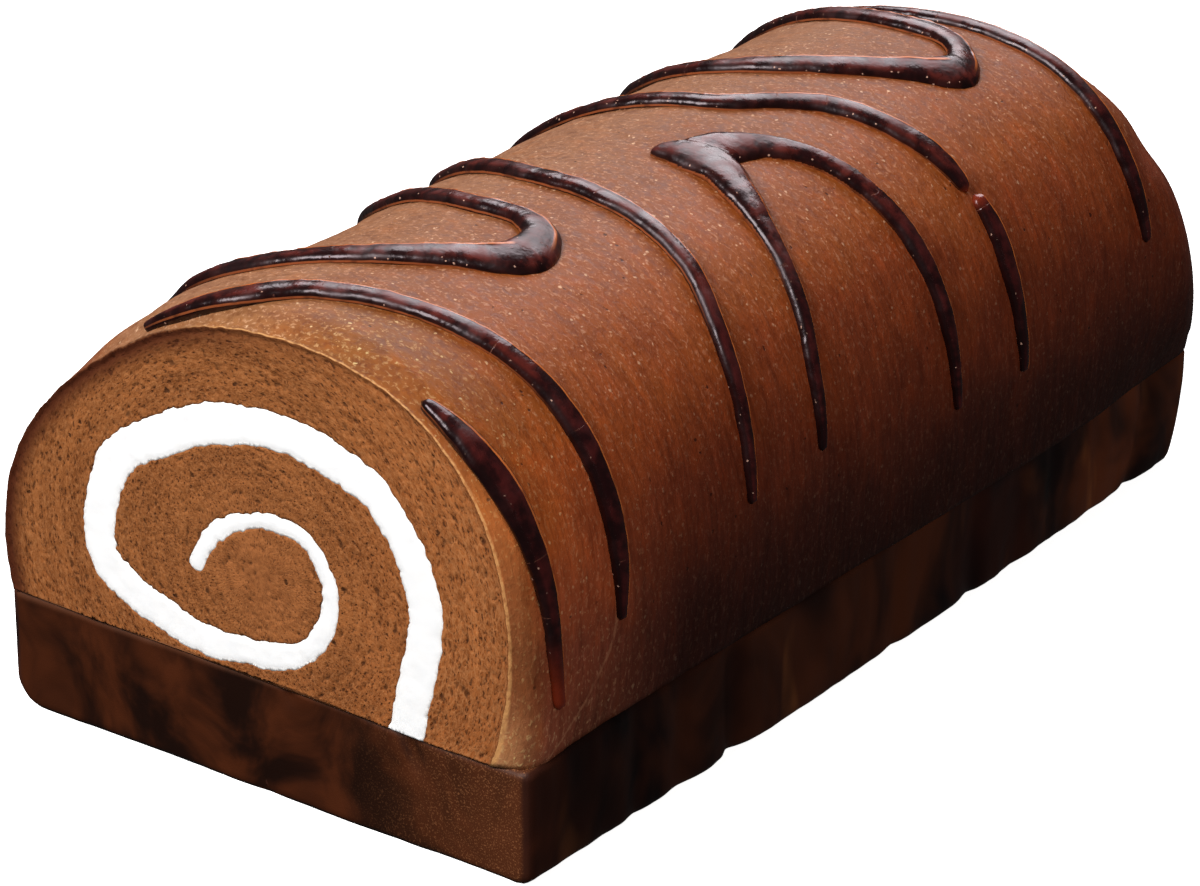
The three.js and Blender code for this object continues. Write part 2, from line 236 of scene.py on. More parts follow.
def skin_point(angle, y, extra=0.0):
    """Points of the skin, extra millimetres out, as an array of X, Y, Z."""
    angle, y, extra = np.broadcast_arrays(*(np.asarray(value, float) for value in (angle, y, extra)))
    rim = rim_at(angle)
    radius = rim + skin_lift(angle, y, ROLL_CENTRE[1] + rim * np.sin(angle)) + extra
    return np.stack([ROLL_CENTRE[0] + radius * np.cos(angle), y, ROLL_CENTRE[1] + radius * np.sin(angle)], -1)


def base_top(x, along):
    """The height of the chocolate's top edge."""
    sag = SAG_DEPTH * smoothstep(x, *SAG_ACROSS) + 0.22 * noise(x / 8, 0, 3)
    return BASE_HEIGHT + TOP_RAISE - sag * bell(along, SAG_ALONG)


def foot_height(x, along):
    """Where the roll's foot lies, a little below the base's top edge."""
    return base_top(x, along) - ROLL_SINK


def bottom_angle(side, y):
    """Where the skin meets the top of the base, on the +X (side 1) or -X (side -1) side."""
    low = np.zeros_like(y) if side > 0 else np.full_like(y, math.pi)
    high = low - side * math.radians(40)
    for _ in range(40):  # halves the gap between an angle above the base and one below its top
        middle = (low + high) / 2
        point = skin_point(middle, y)
        above = point[..., 2] > foot_height(point[..., 0], y - FRONT_Y)
        low, high = np.where(above, middle, low), np.where(above, high, middle)
    return low


# ---- Meshes ----
def mesh_object(name, points, faces, materials, face_materials=None, attributes=None, smooth=True):
    """A mesh object from points in millimetres."""
    mesh = bpy.data.meshes.new(name)
    mesh.from_pydata((np.asarray(points) * MM).tolist(), [], [tuple(f) for f in faces])
    for material in materials:
        mesh.materials.append(material)
    if face_materials is not None:
        mesh.polygons.foreach_set("material_index", np.asarray(face_materials, np.int32))
    mesh.polygons.foreach_set("use_smooth", np.full(len(mesh.polygons), smooth))
    for key, values in (attributes or {}).items():
        values = np.asarray(values, np.float32)
        kind, field = ("FLOAT", "value") if values.ndim == 1 else ("FLOAT_VECTOR", "vector")
        mesh.attributes.new(key, kind, "POINT").data.foreach_set(field, values.ravel())
    mesh.validate()
    mesh.update()
    obj = bpy.data.objects.new(name, mesh)
    bpy.context.scene.collection.objects.link(obj)
    return obj


def outward(obj):
    """Turns every face of a closed mesh outwards."""
    work = bmesh.new()
    work.from_mesh(obj.data)
    bmesh.ops.recalc_face_normals(work, faces=work.faces)
    work.to_mesh(obj.data)
    work.free()
    return obj


def numbered(rows, columns):
    """The numbers of the points of a grid."""
    return np.arange(rows * columns).reshape(rows, columns)


def take_up(triangles, ids, size):
    """Numbers the points that triangles use and that have none yet, from size on, and gives those points."""
    used = np.unique(triangles)
    fresh = used[ids[used] < 0]
    ids[fresh] = size + np.arange(len(fresh))
    return fresh


def tube_faces(grid):
    """Faces between the rows of a grid, each of which is closed into a ring."""
    after = np.roll(grid, -1, 1)
    return np.stack([grid[:-1], after[:-1], after[1:], grid[1:]], -1).reshape(-1, 4).tolist()


def strip(first, second):
    """Faces between two rows of points that may differ in number."""
    faces, i, j = [], 0, 0
    m, n = len(first) - 1, len(second) - 1
    while i < m or j < n:
        if j >= n or (i < m and (i + 1) * n <= (j + 1) * m):
            faces.append([int(first[i]), int(first[i + 1]), int(second[j])])
            i += 1
        else:
            faces.append([int(first[i]), int(second[j + 1]), int(second[j])])
            j += 1
    return faces


def inside(polygon, points):
    """Which points lie inside a closed polygon, by counting crossings."""
    found = np.zeros(len(points), bool)
    px, py = points[:, 0], points[:, 1]
    for (ax, ay), (bx, by) in zip(polygon, np.roll(polygon, -1, 0)):
        if ay == by:
            continue
        crosses = (ay > py) != (by > py)
        found ^= crosses & (px < ax + (py - ay) * (bx - ax) / (by - ay))
    return found


def search_tree(points):
    """A search tree of points in two or three dimensions."""
    tree = KDTree(len(points))
    for i, point in enumerate(points):
        tree.insert((*point, 0)[:3], i)
    tree.balance()
    return tree


def distance_to(line, points):
    """The distance from each point to the nearest of a dense row of points."""
    tree = search_tree(line)
    return np.array([tree.find((x, y, 0))[2] for x, y in points])


def dense(line, step):
    """A polyline resampled at about step."""
    places = travelled(line)
    count = max(2, int(places[-1] / step) + 1)
    at = np.linspace(0, places[-1], count)
    return np.stack([np.interp(at, places, line[:, k]) for k in range(line.shape[1])], 1)


def face_points(outline, spacing, seed):
    """A jittered grid of points over the box round an outline."""
    rng = np.random.default_rng(seed)
    low, high = outline.min(0), outline.max(0)
    rows = []
    for r, y in enumerate(np.arange(low[1], high[1], spacing * ROW_GAP)):
        xs = np.arange(low[0] + (r % 2) * spacing / 2, high[0], spacing)
        rows.append(np.stack([xs, np.full_like(xs, y)], 1))
    points = np.concatenate(rows)
    return points + rng.uniform(-JITTER, JITTER, points.shape) * spacing


def triangulate(outlines, spacing, seed):
    """Points and triangles that cover the closed outlines and follow their edges.

    The third result tells which point each point of the outlines became.
    """
    fixed = np.concatenate(outlines)
    _, order, back = np.unique(np.round(fixed, 5), axis=0, return_index=True, return_inverse=True)
    back = back.ravel()
    edges, start = [], 0
    for outline in outlines:
        ids = back[start:start + len(outline)]
        edges += [(int(a), int(b)) for a, b in zip(ids, np.roll(ids, -1)) if a != b]
        start += len(outline)
    corners = fixed[order]
    cloud = face_points(corners, spacing, seed)
    cloud = cloud[distance_to(corners, cloud) > KEEP_OFF * spacing]
    points = np.concatenate([corners, cloud])
    result = delaunay_2d_cdt([Vector(p) for p in points], edges, [], 0, 1e-6)
    made = np.array([tuple(v) for v in result[0]])
    return made, np.array(result[2]), back


# ---- The cream's path ----
def cream_edges():
    """Both edges of the cream band in X and Z, from the inner tip out."""
    angles = np.radians(CREAM_START + CREAM_STEP * np.arange(len(CREAM_RADII)))
    x, z = CREAM_CENTRE[0] + CREAM_RADII * np.cos(angles), CREAM_CENTRE[1] + CREAM_RADII * np.sin(angles)
    knots = np.stack([x, z], 1)
    knots = [knots[0], *knots, knots[-1]]
    path = []
    for p0, p1, p2, p3 in zip(knots, knots[1:], knots[2:], knots[3:]):
        path += curve(p1, p2, (p2 - p0) / 2, (p3 - p1) / 2, 40)
    path = dense(np.array(path), CREAM_PATH_STEP)
    places = travelled(path)
    share = places / places[-1]
    thickness = CREAM_INNER + (CREAM_OUTER - CREAM_INNER) * smoothstep(share, *CREAM_THICKENS)
    half = thickness / 2 * fullness(places, CREAM_INNER / 2, 0.02)
    tangent = unit(np.gradient(path, axis=0))
    normal = np.stack([-tangent[:, 1], tangent[:, 0]], 1)
    calm = smoothstep(places, 0.5, 5)  # the tip is smooth
    edges = []
    for side, seed in ((1, 31), (-1, 47)):
        ragged = 0.3 * layers(places / 1.3, 0, seed) + 0.2 * noise(places / 4.3, 0, seed + 7)
        edges.append(path + normal * (side * (half + CREAM_SPREAD + calm * ragged))[:, None])
    return edges


def cut_off(edge, along):
    """An edge up to where it passes below the top of the base, with its last point there."""
    floor = foot_height(edge[:, 0], along)
    outer_turn = np.arange(len(edge)) > 0.7 * len(edge)
    below = np.nonzero((edge[:, 1] < floor) & outer_turn)[0][0]
    a, b = edge[below - 1], edge[below]
    ha, hb = a[1] - floor[below - 1], b[1] - floor[below]
    return np.concatenate([edge[:below], [a + (b - a) * (ha / (ha - hb))]])


# ---- The roll: skin, both cut faces, the slot for the cream and the underside ----
def skin_relief(arc, along):
    """Fine relief of the baked skin, in millimetres, never above its plain form."""
    grain = 0.07 * layers(arc / 7 + 0.3 * along / 3, along / 1.15, 5)
    swells = 0.18 * noise(arc / 17, along / 13, 11) + 0.1 * noise(arc / 6, along / 5, 12)
    wrinkle_zone = bell(along - 84, 16) * bell(arc - 70, 12)
    wrinkles = 0.22 * wrinkle_zone * noise((arc + 0.9 * along) / 9, (along - 0.35 * arc) / 2.0, 17)
    return grain + swells + wrinkles - 0.22


def skin_rows():
    """The skin's points in rows from front to back, with each one's arc and distance from the front rim."""
    share = np.linspace(0, 1, SKIN_ROWS + 1)
    eased = (1 - np.cos(np.pi * share)) / 2
    share = (1 - GATHERED) * share + GATHERED * eased
    foot_y = FRONT_Y + share * ROLL_FOOT_LENGTH
    start, end = bottom_angle(1, foot_y), bottom_angle(-1, foot_y)
    across = np.linspace(0, 1, SKIN_COLUMNS + 1)
    angle = start[:, None] + (end - start)[:, None] * across
    end_y = back_y(np.maximum(skin_point(angle, 0.0)[..., 2], ROLL_BOTTOM))
    y = FRONT_Y + share[:, None] * (end_y - FRONT_Y)
    arc, along = angle * RIM_RADIUS, y - FRONT_Y
    relief = skin_relief(arc, along) * np.minimum(1, np.minimum(along, end_y - y) / 1.2)
    ragged = (0.16 * layers(arc / 1.3, 0, 71) - 0.1) * np.exp(-along / 0.8)
    skin = skin_point(angle, y, relief + ragged)
    ends = [0, -1]
    skin[:, ends, 2] = foot_height(skin[:, ends, 0], along[:, ends])
    gaps = np.linalg.norm(np.diff(skin_point(angle, y), axis=0), axis=2)
    from_rim = np.concatenate([np.zeros((1, len(across))), np.cumsum(gaps, 0)])
    return skin, arc, from_rim


def pores(points, seed, count, size):
    """How deep each point lies in the crumb's pores, from 0 to 1. The pores are drawn out along the turns."""
    rng = np.random.default_rng(seed)
    low, high = points.min(0), points.max(0)
    tree = search_tree(points)
    depth = np.zeros(len(points))
    for _ in range(count):
        at = rng.uniform(low, high)
        big = rng.random() ** 5
        long, wide = size * (0.5 + 1.5 * big + 0.5 * rng.random()), size * (0.28 + 0.5 * big)
        strength = 0.35 + 0.65 * rng.random()
        out = at - CREAM_CENTRE
        if np.hypot(*out) < CORE_REACH:
            long = 0.5 * (long + wide)
        turn = math.atan2(out[1], out[0]) + math.pi / 2 + rng.normal(0, 0.25)
        c, s = math.cos(turn), math.sin(turn)
        for place, i, _ in tree.find_range((at[0], at[1], 0), 2.2 * long):
            dx, dy = place[0] - at[0], place[1] - at[1]
            a, b = (dx * c + dy * s) / long, (-dx * s + dy * c) / wide
            depth[i] = max(depth[i], strength * math.exp(-((a * a + b * b) ** 1.5)))
    return depth


def crumb_depth(x, z, along, pits, rim, seed):
    """How far the cut crumb lies within its plane: pores, lumps and a shallow groove inside the rim."""
    lumps = layers(x / 1.6, z / 1.6, seed + 3)
    depth = smoothstep(rim, 0, 0.9) * (0.1 + 0.3 * pits + 0.07 * lumps)
    depth = np.maximum(0, depth + 0.16 * bell(rim - 0.9, 0.5))
    at_foot = z < base_top(x, along) + 0.3
    return np.where(at_foot, depth * 0.4, depth)


def cream_depth(x, z, edge, seed):
    """How far the cut cream lies within the plane of the face: low waves, deepest at its edge."""
    waves = 0.07 * layers(x / 3.1, z / 3.1, seed + 9)
    return np.maximum(0.02, 0.17 - 0.12 * smoothstep(edge, 0, 1.1) + waves)


def foot_line(a, b, along):
    """Points between a and b where the cut face meets the base, without a and b."""
    count = max(2, int(abs(a[0] - b[0]) / FOOT_STEP))
    xs = np.linspace(a[0], b[0], count + 1)[1:-1]
    return np.stack([xs, foot_height(xs, along)], 1)


def cut_face(which, round_edge, edges):
    """A cut face: its points, the triangles of its sponge and cream, and the points along its outlines."""
    spacing, pore_count, pore_size, seed, along = CUT_FACES[which]
    left_lip, right_lip = sorted((cut_off(edge, along) for edge in edges), key=lambda lip: lip[-1][0])
    slot = np.concatenate([left_lip[::-1], right_lip])
    left_foot = foot_line(round_edge[-1], slot[0], along)
    right_foot = foot_line(slot[-1], round_edge[0], along)
    outline = np.concatenate([round_edge, left_foot, slot, right_foot])
    band = np.concatenate([slot, foot_line(slot[-1], slot[0], along)])
    made, triangles, back = triangulate([outline, band], spacing, seed)
    middles = made[triangles].mean(1)
    in_cream = inside(band, middles)
    in_sponge = inside(outline, middles) & ~in_cream
    x, z = made[:, 0], made[:, 1]
    rim, edge = distance_to(dense(round_edge, RIM_STEP), made), distance_to(dense(slot, SLOT_STEP), made)
    pits = pores(made, seed, pore_count, pore_size)
    is_cream = inside(band, made) | (edge < 1e-3)
    depth = np.where(is_cream, cream_depth(x, z, edge, seed), crumb_depth(x, z, along, pits, rim, seed))
    y = FRONT_Y + depth if which == "front" else back_y(z) - depth
    ends = np.cumsum([len(round_edge), len(left_foot), len(slot), len(right_foot), len(slot)])
    round_ids, left, slot_ids, right, slot_band, mouth_band = np.split(back, ends)
    return {
        "points": np.stack([x, y, z], 1), "pore": pits, "rim": rim, "edge": edge,
        "sponge": triangles[in_sponge], "cream": triangles[in_cream],
        "round": round_ids, "left": left, "slot": slot_ids, "right": right,
        "cream_slot": slot_band, "cream_mouth": [slot_band[-1], *mouth_band, slot_band[0]],
    }


def build_sponge(cuts, skin, arc, from_rim, materials):
    """The roll's closed mesh. The cut faces share the skin's first and last row of points."""
    grid = numbered(*skin.shape[:2])
    points, size = [skin.reshape(-1, 3)], grid.size
    faces = np.stack([grid[:-1, :-1], grid[:-1, 1:], grid[1:, 1:], grid[1:, :-1]], -1).reshape(-1, 4).tolist()
    kinds = [SKIN] * len(faces)
    place = np.stack([arc, from_rim, 0 * arc], -1).reshape(-1, 3)
    none, nowhere = np.zeros(size), np.zeros((size, 3))
    parts = [{"skin": place, "pore": none, "rim": none, "face": nowhere, "turn": nowhere}]
    mouths = []
    for cut, row in zip(cuts, (grid[0], grid[-1])):
        ids = np.full(len(cut["points"]), -1)
        ids[cut["round"]] = row
        fresh = take_up(cut["sponge"], ids, size)
        size += len(fresh)
        place = cut["points"][fresh]
        points.append(place)
        faces += ids[cut["sponge"]].tolist()
        kinds += [CRUMB] * len(cut["sponge"])
        x, z = place[:, 0] - CREAM_CENTRE[0], place[:, 2] - CREAM_CENTRE[1]
        turned = np.arctan2(z, x)
        turn = np.stack([TURN_RADIUS * np.cos(turned), TURN_RADIUS * np.sin(turned), np.hypot(x, z)], 1)
        pore, rim = cut["pore"][fresh], cut["rim"][fresh]
        parts.append({"skin": np.zeros_like(place), "pore": pore, "rim": rim, "face": place, "turn": turn})
        mouths.append([ids[cut[key]] for key in ("left", "slot", "right")])
    (left, slot, right), (far_left, far_slot, far_right) = mouths
    faces += strip(slot, far_slot)
    cloud = np.concatenate(points)
    # The underside, in two parts, left and right of the cream
    for loop in (
        [*grid[:, -1], *far_left, far_slot[0], slot[0], *left[::-1]],
        [*grid[::-1, 0], *right[::-1], slot[-1], far_slot[-1], *far_right],
    ):
        flat = [Vector((*cloud[i][:2], 0)) for i in loop]
        faces += [[int(loop[k]) for k in triangle] for triangle in tessellate_polygon([flat])]
    kinds += [INSIDE] * (len(faces) - len(kinds))
    attributes = {key: np.concatenate([part[key] for part in parts]) for key in parts[0]}
    return outward(mesh_object("sponge_body", cloud, faces, materials, kinds, attributes))


def build_cream(cuts, material):
    """The cream's closed mesh: both faces, and walls between them."""
    points, edge, faces, slots, mouths, size = [], [], [], [], [], 0
    for cut in cuts:
        ids = np.full(len(cut["points"]), -1)
        used = take_up(cut["cream"], ids, size)
        size += len(used)
        points.append(cut["points"][used])
        edge.append(cut["edge"][used])
        faces += ids[cut["cream"]].tolist()
        slots.append(ids[cut["cream_slot"]])
        mouths.append(ids[cut["cream_mouth"]])
    faces += strip(*slots) + strip(*mouths)
    attributes = {"edge": np.concatenate(edge)}
    return outward(mesh_object("cream_spiral", np.concatenate(points), faces, [material], None, attributes))


def build_roll(materials):
    """The sponge roll and the cream that runs through it, as two closed meshes with matching faces."""
    skin, arc, from_rim = skin_rows()
    edges = cream_edges()
    cuts = [cut_face(which, row[:, [0, 2]], edges) for which, row in (("front", skin[0]), ("back", skin[-1]))]
    sponge = build_sponge(cuts, skin, arc, from_rim, materials["sponge"])
    return sponge, build_cream(cuts, materials["cream"])


# ---- Drizzle ----
def strand_path(stations):
    """A strand's line as rows of along, arc and width, by the same spline as the part's source."""
    knots = [np.array([along, math.radians(angle) * RIM_RADIUS, width]) for along, angle, width in stations]
    knots = [2 * knots[0] - knots[1], *knots, 2 * knots[-1] - knots[-2]]
    line = []
    for p0, p1, p2, p3 in zip(knots, knots[1:], knots[2:], knots[3:]):
        d0, d1, d2 = (max(np.linalg.norm(b - a) ** 0.5, 1e-3) for a, b in ((p0, p1), (p1, p2), (p2, p3)))
        v1 = ((p1 - p0) / d0 - (p2 - p0) / (d0 + d1) + (p2 - p1) / d1) * d1
        v2 = ((p2 - p1) / d1 - (p3 - p1) / (d1 + d2) + (p3 - p2) / d2) * d1
        line += curve(p1, p2, v1, v2, 24)
    line.append(knots[-2])
    return dense(np.array(line), STRAND_STEP)


def thinness(name, places):
    """How much light gets through a strand's ends, from 0 to 1."""
    from_start, from_end = THIN_ENDS.get(name, (0, 0))
    thin = np.zeros_like(places)
    if from_start:
        thin = np.maximum(thin, 1 - places / from_start)
    if from_end:
        thin = np.maximum(thin, 1 - (places[-1] - places) / from_end)
    return thin


def strand_mesh(name, seed):
    """Points, faces and attributes of one strand of drizzle, a low dome rooted in the skin."""
    path = strand_path(STRANDS[name])
    places, width = travelled(path[:, :2]), path[:, 2]
    thin = thinness(name, places)

    def wave(length, number):
        return noise(places / length, 0, seed + number)

    taper = fullness(np.minimum(places, places[-1] - places), 0.5 * width + 0.2, 0.015)
    half = width / 2 * taper
    y, angle = FRONT_Y + path[:, 0], path[:, 1] / RIM_RADIUS
    middle = skin_point(angle, y)
    ahead = unit(np.gradient(middle, axis=0))
    side = unit(np.cross(np.stack([np.cos(angle), 0 * angle, np.sin(angle)], 1), ahead))
    up = np.cross(ahead, side)
    stout = np.sqrt(width / DRIZZLE_WIDTH)
    height = (DRIZZLE_HEIGHT - DOME_LOWER) * stout * taper
    height *= 1 + 0.05 * wave(4.5, 0) + 0.03 * wave(1.6, 1)
    away = np.sign(side[:, 1])
    raised = smoothstep(np.abs(side[:, 1]), 0.2, 0.6)
    rings, strands = [], []
    for turn in np.pi * np.arange(STRAND_AROUND + 1) / STRAND_AROUND:
        across = -math.cos(turn)
        wobble = 0.13 * wave(2.6, 3 if across < 0 else 5) + 0.07 * wave(0.9, 4 if across < 0 else 6)
        wobble = wobble * abs(across) * np.sign(across) * taper
        reach = math.copysign(abs(across) ** 0.9, across) * half + wobble
        edge = bell(across * away - EDGE_PLACE, EDGE_WIDTH) * raised
        rise = height * math.sin(turn) ** 0.75
        rise = rise + EDGE_RISE * edge * taper * (1 + 0.5 * wave(1.1, 8)) * stout
        rings.append(middle + side * reach[:, None] + up * rise[:, None])
        strands.append(np.stack([across * away, raised, thin, places], 1))
    for share in (0.66, -0.66):  # the root
        rings.append(middle - up * (DRIZZLE_ROOT * taper)[:, None] + side * (share * half)[:, None])
        strands.append(np.stack([np.full_like(places, share), raised, thin, places], 1))
    points = np.stack(rings, 1)
    grid = numbered(*points.shape[:2])
    faces = tube_faces(grid) + [grid[0][::-1].tolist(), grid[-1].tolist()]
    return points.reshape(-1, 3), faces, np.stack(strands, 1).reshape(-1, 4)


def merged_strands(names, first_seed):
    """Strands that flow together: a voxel remesh joins them, and smoothing fills the corner between."""
    points, faces, strands, offset = [], [], [], 0
    for n, name in enumerate(names):
        more, more_faces, strand = strand_mesh(name, first_seed + 10 * n)
        points.append(more)
        strands.append(strand)
        faces += [[i + offset for i in face] for face in more_faces]
        offset += len(more)
    points, strands = np.concatenate(points), np.concatenate(strands)
    rough = outward(mesh_object("rough", points, faces, []))
    remesh = rough.modifiers.new("join", "REMESH")
    remesh.mode, remesh.voxel_size = "VOXEL", VOXEL * MM
    smooth = rough.modifiers.new("fill", "SMOOTH")
    smooth.factor, smooth.iterations = 0.5, SMOOTHINGS
    made = rough.evaluated_get(bpy.context.evaluated_depsgraph_get()).to_mesh()
    joined = np.zeros(len(made.vertices) * 3)
    made.vertices.foreach_get("co", joined)
    joined = joined.reshape(-1, 3) / MM
    new_faces = [list(face.vertices) for face in made.polygons]
    bpy.data.objects.remove(rough)
    tree = search_tree(points)
    found = strands[[tree.find(point)[1] for point in joined]]
    turned = np.degrees(np.arctan2(joined[:, 2] - ROLL_CENTRE[1], joined[:, 0] - ROLL_CENTRE[0]))
    found[:, 1] *= 1 - smoothstep(turned, 48, 60)  # no edge line where the strands meet
    return joined, new_faces, found


def build_drizzle(material):
    """One piece for each strand, and one for the two strands of the fork."""
    made = []
    for n, name in enumerate(STRANDS):
        seed = DRIZZLE_SEED + 10 * n
        if name == "fork_right":  # joined to the left one
            continue
        if name == "fork_left":
            points, faces, strand = merged_strands(["fork_left", "fork_right"], seed)
            name = "fork"
        else:
            points, faces, strand = strand_mesh(name, seed)
        attributes = {"strand": strand[:, :3], "run": strand[:, 3]}
        made.append(outward(mesh_object(f"drizzle_{name}", points, faces, [material], None, attributes)))
    return made


# ---- Chocolate base ----
def fold_at(along):
    return sum(depth * bell(along - at, FOLD_WIDTH) for at, depth in BASE_FOLDS)


def base_half(along, side):
    """How far the base's side is from the middle. The folds on the left are those on the right, mirrored."""
    bow = BASE_BOW * np.sin(np.pi * along / BASE_LENGTH)
    fold = fold_at(along if side > 0 else BASE_LENGTH - along)
    full = BASE_HALF_WIDTH - BASE_TAPER * along + bow - fold
    front = along < BASE_LENGTH / 2
    corner = np.where(front, *BASE_CORNERS)
    return full - corner * (1 - fullness(np.where(front, along, BASE_LENGTH - along), corner))


def base_outline():
    """The base's plan as a closed row of X, along, from the near left corner round to the right and back."""
    share = np.linspace(0, 1, 260)
    along = (0.6 * share + 0.4 * (1 - np.cos(np.pi * share)) / 2) * BASE_LENGTH
    right = np.stack([base_half(along, 1), along], 1)
    left = np.stack([-base_half(along, -1), along], 1)[::-1]
    front = np.linspace([left[-1, 0], 0], [right[0, 0], 0], 150)[1:-1]
    rear = np.linspace([right[-1, 0], BASE_LENGTH], [left[0, 0], BASE_LENGTH], 110)[1:-1]
    return np.concatenate([front, right, rear, left])


def base_relief(x, along, z, normal):
    """How far the base's wall lies within its plain form: soft drapes on the sides and waves in front."""
    drape = 0.32 * (1 + layers(along / 7.5 + 0.15 * z / 9, z / 30, 41))
    drape = drape + 0.1 * (1 + noise(along / 2.4, z / 16, 44))
    left_wave = bell(x - 5 + 0.4 * (z - 19), 1.4) * smoothstep(z, 14.5, 18.5)
    right_wave = bell(x - 28 - 0.5 * (19 - z), 1.8) * smoothstep(z, 10, 17)
    frontal = 0.26 * (1 + layers(x / 9, z / 9, 51)) + 0.5 * left_wave + 0.8 * right_wave
    sideways = np.abs(normal[:, 0])
    return drape * sideways + frontal * (1 - sideways)


def wall_ring(outline, normal, z):
    """The base's wall at one height, drawn in at the foot and rounded at both edges."""
    x, along = outline.T
    inset = {side: FOOT_INSET[side] * max(0, 1 - z / FOOT_HEIGHT[side]) ** 2 for side in FOOT_INSET}
    moved_x = np.where(x > 0, x - inset["right"], x + inset["left"])
    y = FRONT_Y + along
    moved_y = y - inset["back"] * smoothstep(y, 0, FRONT_Y + BASE_LENGTH)
    depth = base_relief(x, along, z, normal)
    for (radius, share), from_edge in ((TOP_ROUND, BASE_HEIGHT - z), (FOOT_ROUND, z)):
        depth = depth + radius * (1 - fullness(from_edge, radius)) * share
    scale = base_top(x, along) / BASE_HEIGHT
    return np.stack([moved_x - normal[:, 0] * depth, moved_y - normal[:, 1] * depth, z * scale], 1)


def base_lid(x, y):
    """The base's top, a little uneven."""
    return base_top(x, y - FRONT_Y) - 0.08 + 0.08 * layers(x / 6, y / 6, 61, 2)


def build_base(material):
    """The base's closed mesh: the wall in rings, the top and the underside."""
    outline = base_outline()
    step = unit(np.roll(outline, -1, 0) - np.roll(outline, 1, 0))
    normal = np.stack([step[:, 1], -step[:, 0]], 1)  # outwards in X, along
    heights = BASE_HEIGHT * np.linspace(0, 1, WALL_LEVELS)
    wall = np.stack([wall_ring(outline, normal, z) for z in heights])
    grid = numbered(*wall.shape[:2])
    points, faces, size = [wall.reshape(-1, 3)], tube_faces(grid), grid.size
    for ring, spacing, height in ((-1, TOP_SPACING, base_lid), (0, UNDERSIDE_SPACING, lambda x, y: 0 * x)):
        flat = wall[ring][:, :2]
        made, triangles, back = triangulate([flat], spacing, SEED + 5)
        keep = inside(flat, made[triangles].mean(1))
        ids = np.full(len(made), -1)
        ids[back] = grid[ring]
        fresh = take_up(triangles[keep], ids, size)
        size += len(fresh)
        x, y = made[fresh].T
        points.append(np.stack([x, y, height(x, y)], 1))
        faces += ids[triangles[keep]].tolist()
    return outward(mesh_object("chocolate_base_dressed", np.concatenate(points), faces, [material]))


# ---- Materials ----
# The skin's arc and along and the crumb's places are in millimetres. The object's own places are in metres.
def linear(red, green, blue):
    """An sRGB colour from 0 to 255 as the linear colour that Blender takes."""
    def one(value):
        value /= 255
        return value / 12.92 if value <= 0.04045 else ((value + 0.055) / 1.055) ** 2.4
    return (one(red), one(green), one(blue), 1.0)


